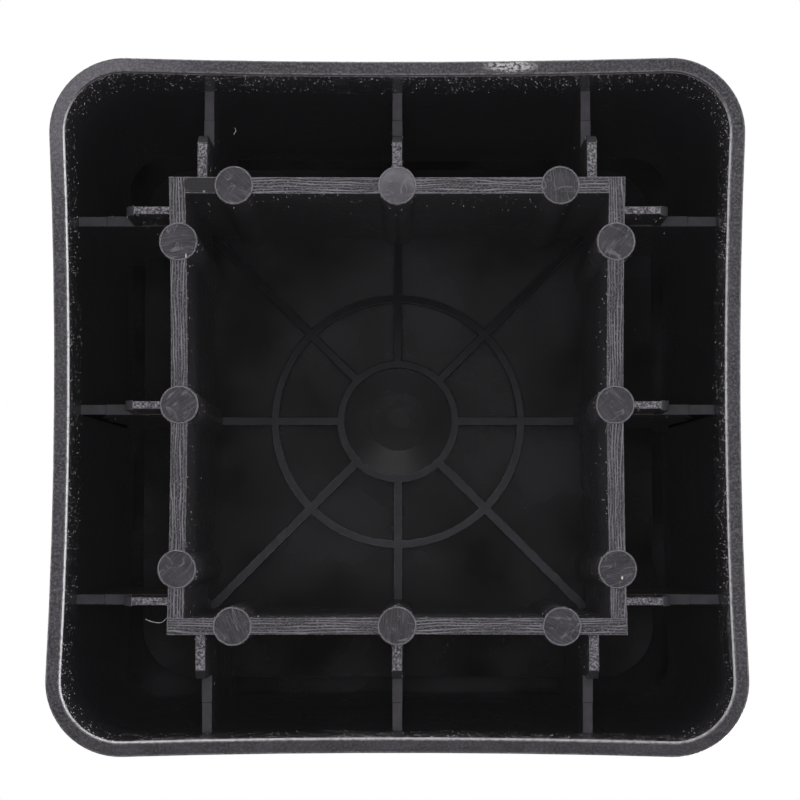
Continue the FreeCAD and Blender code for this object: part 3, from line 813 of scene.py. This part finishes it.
def settle_dust(settings, material):
    """Specks on the walls of the hollow: most just inside the foot rim, fewer further up and further in."""
    rule = Growth("settled_dust")
    density = rule.input("Density", "Float", settings.density)
    speck = rule.input("Speck", "Float", settings.speck)
    seed = rule.input("Seed", "Int", settings.seed)
    parts = rule.split(rule.place)
    low = rule.ramp(parts["Z"], DUST_FOOT, DUST_TOP, 1.0, 0.0)
    lowest = rule.ramp(parts["Z"], DUST_FOOT, DUST_THICK, 1.0, 0.7)
    skirt = rule.ramp(rule.reach(parts), SKIRT_NEAR - 1 * MM, SKIRT_NEAR, 0.2, 1.0)
    above_floor = rule.step("GREATER_THAN", parts["Z"], DUST_CLEAR)
    patches = rule.ramp(rule.noise(rule.place, 60, 2.0), 0.40, 0.62, 0.3, 1.0)
    spread = rule.node("GeometryNodeDistributePointsOnFaces", {
        "Mesh": rule.start.outputs["Geometry"], "Seed": seed, "Density": density})
    share = rule.product(above_floor, low, low, lowest, skirt, patches)
    thinned = rule.node("GeometryNodeDeleteGeometry", {
        "Geometry": spread.outputs["Points"],
        "Selection": rule.step("GREATER_THAN", rule.chance(0.0, 1.0, 5), share)})
    size = rule.step("POWER", rule.chance(0.0, 1.0, seed), 4.0)
    grain = rule.node("GeometryNodeMeshIcoSphere", {"Radius": speck, "Subdivisions": 1}).outputs["Mesh"]
    copies = rule.node("GeometryNodeInstanceOnPoints", {
        "Points": thinned.outputs["Geometry"], "Instance": grain,
        "Scale": rule.ramp(size, 0.0, 1.0, 0.9, 3.2)})
    return rule.grow(dust_bed(), copies.outputs["Instances"], material)


def pin_witness(middles, settings, material):
    """The thin raised line that each ejector pin leaves round its mark on a post."""
    mesh = bpy.data.meshes.new("pin_witness")
    mesh.from_pydata([(*middle.xy, POST_END - settings.witness / 2) for middle in middles], [], [])
    rule = Growth("pin_witness")
    radius = rule.input("Radius", "Float", POST_RADIUS - settings.edge_round - settings.witness)
    line = rule.input("Line", "Float", settings.witness / 2)
    seed = rule.input("Seed", "Int", 3)
    path = rule.node("GeometryNodeCurvePrimitiveCircle", {"Resolution": 72, "Radius": radius})
    section = rule.node("GeometryNodeCurvePrimitiveCircle", {"Resolution": 4, "Radius": line})
    tube = rule.node("GeometryNodeCurveToMesh", {
        "Curve": path.outputs["Curve"], "Profile Curve": section.outputs["Curve"]})
    points = rule.node("GeometryNodeMeshToPoints", {"Mesh": rule.start.outputs["Geometry"]})
    turn = rule.node("ShaderNodeCombineXYZ", {"Z": rule.chance(0.0, 2 * math.pi, seed)})
    copies = rule.node("GeometryNodeInstanceOnPoints", {
        "Points": points.outputs["Points"], "Instance": tube.outputs["Mesh"], "Rotation": turn.outputs[0]})
    real = rule.node("GeometryNodeRealizeInstances", {"Geometry": copies.outputs["Instances"]})
    sockets = {"Vector": rule.place, "Scale": 500.0, "Detail": 2.0}
    sway = rule.node("ShaderNodeTexNoise", sockets).outputs["Color"]
    sockets = {0: sway, 1: (0.5, 0.5, 0.5)}
    even = rule.node("ShaderNodeVectorMath", sockets, operation="SUBTRACT").outputs[0]
    sockets = {0: even, 1: (0.3 * MM, 0.3 * MM, 0)}
    small = rule.node("ShaderNodeVectorMath", sockets, operation="MULTIPLY").outputs[0]
    uneven = rule.node("GeometryNodeSetPosition", {"Geometry": real.outputs[0], "Offset": small})
    return rule.grow(new_piece("pin_witness", mesh), uneven.outputs["Geometry"], material)


def lint(name, points, thickness, material):
    """A fibre through points in millimetres."""
    mesh = bpy.data.meshes.new(name)
    links = [(index, index + 1) for index in range(len(points) - 1)]
    mesh.from_pydata([Vector(point) * MM for point in points], links, [])
    rule = Growth(name)
    radius = rule.input("Radius", "Float", thickness / 2)
    path = rule.node("GeometryNodeMeshToCurve", {"Mesh": rule.start.outputs["Geometry"]})
    sockets = {"Curve": path.outputs["Curve"]}
    soft = rule.node("GeometryNodeCurveSplineType", sockets, spline_type="CATMULL_ROM")
    section = rule.node("GeometryNodeCurvePrimitiveCircle", {"Resolution": 5, "Radius": radius})
    tube = rule.node("GeometryNodeCurveToMesh", {
        "Curve": soft.outputs["Curve"], "Profile Curve": section.outputs["Curve"], "Fill Caps": True})
    return rule.grow(new_piece(name, mesh), tube.outputs["Mesh"], material)


class RISER_OT_pin_marks(Operator):
    """Lay a thin uneven line round the pin mark on each post"""
    bl_idname = "riser.pin_marks"
    bl_label = "Pin marks"

    def execute(self, context):
        settings = context.scene.riser_finish
        middles = post_middles(merged_copy())
        line = even_finish("pin_witness_rubbed", scaled(settings.pale, 1.7), 0.35)
        settle_piece(pin_witness(middles, settings, line))
        return {"FINISHED"}


class RISER_OT_dust(Operator):
    """Scatter dust on the walls of the hollow and add two threads of lint"""
    bl_idname = "riser.dust"
    bl_label = "Dust and lint"

    def execute(self, context):
        settings = context.scene.riser_dust
        specks = settle_dust(settings, even_finish("dust_pale", settings.colour, 0.9))
        if not specks.data.polygons:
            raise RuntimeError("no dust settled")
        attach(specks, BODY)
        fibre = even_finish("lint_pale", scaled(settings.colour, 1.3), 0.8)
        for index, points in enumerate(LINT):
            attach(lint(f"lint_{index}", points, settings.thread, fibre), BODY)
        return {"FINISHED"}


class RISER_OT_stage(Operator):
    """Lay the floor, set the soft lights and place the camera under the foot"""
    bl_idname = "riser.stage"
    bl_label = "Stage"

    def execute(self, context):
        settings = context.scene.riser_stage
        make_world(settings)
        make_floor(settings)
        make_lights(settings)
        make_camera(settings)
        context.scene.view_settings.view_transform = "Standard"
        return {"FINISHED"}


def make_world(settings):
    """White to the camera. To the riser it is dim straight below, and brightens towards the sides."""
    world = bpy.data.worlds.new("pale room")
    world.use_nodes = True
    world.node_tree.nodes.clear()
    sky = Tree(world.node_tree)
    way = sky.node("ShaderNodeTexCoord").outputs["Generated"]
    sockets = {
        "Value": sky.split(way)["Z"], "From Min": STRAIGHT_DOWN, "From Max": SIDEWAYS,
        "To Min": settings.below, "To Max": settings.ambient}
    level = sky.node("ShaderNodeMapRange", sockets, interpolation_type="SMOOTHSTEP").outputs["Result"]
    felt = sky.node("ShaderNodeBackground", {"Strength": level}).outputs[0]
    seen = sky.node("ShaderNodeBackground", {"Color": (1, 1, 1, 1)}).outputs[0]
    ray = sky.node("ShaderNodeLightPath").outputs["Is Camera Ray"]
    mix = sky.node("ShaderNodeMixShader", {0: ray, 1: felt, 2: seen}).outputs[0]
    sky.node("ShaderNodeOutputWorld", {"Surface": mix})
    bpy.context.scene.world = world


def make_floor(settings):
    """A pale floor round the foot that fades outwards and shows from above only.

    The photograph's view looks up through it.
    """
    half = settings.floor_width / 2
    mesh = bpy.data.meshes.new("floor")
    corners = [(-half, -half, 0), (half, -half, 0), (half, half, 0), (-half, half, 0)]
    mesh.from_pydata(corners, [], [(0, 1, 2, 3)])
    paint = Finish("floor_pale")
    paint.wear(Base_Color=FLOOR_PAINT, Roughness=0.8)
    away = paint.node("ShaderNodeVectorMath", {0: paint.place}, operation="LENGTH").outputs["Value"]
    below = paint.node("ShaderNodeNewGeometry").outputs["Backfacing"]
    clear = paint.node("ShaderNodeBsdfTransparent").outputs[0]
    hidden = paint.most(below, paint.ramp(away, *FLOOR_FADE))
    sockets = {0: hidden, 1: paint.shader.outputs["BSDF"], 2: clear}
    mix = paint.node("ShaderNodeMixShader", sockets).outputs[0]
    paint.join(mix, paint.output.inputs["Surface"])
    floor = new_piece("floor", mesh, [paint.material])
    for kind in ("diffuse", "glossy", "transmission", "shadow"):
        setattr(floor, f"visible_{kind}", False)


def soft_light(name, place, target, width, depth, power):
    """A rectangular light that points at a target and doesn't show itself."""
    data = bpy.data.lights.new(name, "AREA")
    data.shape = "RECTANGLE"
    data.size = width
    data.size_y = depth
    data.energy = power
    lamp = bpy.data.objects.new(name, data)
    lamp.location = place
    lamp.rotation_euler = (Vector(target) - Vector(place)).to_track_quat("-Z", "Y").to_euler()
    lamp.visible_camera = False
    bpy.context.scene.collection.objects.link(lamp)
    return lamp


def make_lights(settings):
    """Low lights round the foot for the hollow, and three above for the outside."""
    for name, place, width, depth, power, share in LIGHTS:
        target = OUTSIDE if power == "top" else HOLLOW
        lamp = soft_light(name, place, target, width, depth, getattr(settings, power) * share)
        lamp.visible_glossy = power != "front"


def make_camera(settings):
    """The photograph's view: below the foot, looking up, with +Y at the top of the picture."""
    ahead = Vector(CAMERA_AIM).normalized()
    right = ahead.cross(Vector((0, 1, 0))).normalized()
    up = right.cross(ahead)
    data = bpy.data.cameras.new("camera")
    data.sensor_width = 36
    data.lens = settings.focal
    data.clip_start = 0.01
    camera = bpy.data.objects.new("camera", data)
    turned = Matrix((right, up, -ahead)).transposed().to_4x4()
    camera.matrix_world = Matrix.Translation(CAMERA_PLACE) @ turned
    bpy.context.scene.collection.objects.link(camera)
    bpy.context.scene.camera = camera


class RISER_PT_dressing(Panel):
    """Sizes, colours and steps of the riser's dressing"""
    bl_label = "Bed riser"
    bl_idname = "RISER_PT_dressing"
    bl_space_type = "VIEW_3D"
    bl_region_type = "UI"
    bl_category = "Bed riser"

    def draw(self, context):
        for name in SETTINGS:
            settings = getattr(context.scene, name)
            column = self.layout.column(align=True)
            for field in settings.bl_rna.properties:
                if field.identifier not in ("rna_type", "name"):
                    column.prop(settings, field.identifier)
        for step in STEPS:
            self.layout.operator(step.bl_idname)


SETTINGS = {
    "riser_finish": RiserFinishSettings,
    "riser_dust": RiserDustSettings,
    "riser_stage": RiserStageSettings,
}
STEPS = (RISER_OT_moulding, RISER_OT_pin_marks, RISER_OT_dust, RISER_OT_stage)
CLASSES = (*SETTINGS.values(), *STEPS, RISER_PT_dressing)


def register():
    for made in CLASSES:
        bpy.utils.register_class(made)
    for name, kind in SETTINGS.items():
        setattr(bpy.types.Scene, name, PointerProperty(type=kind))


def unregister():
    for name in SETTINGS:
        delattr(bpy.types.Scene, name)
    for made in reversed(CLASSES):
        bpy.utils.unregister_class(made)


def main():
    register()
    bpy.ops.riser.moulding()
    bpy.ops.riser.pin_marks()
    bpy.ops.riser.dust()
    bpy.ops.riser.stage()


if __name__ == "__main__":
    main()
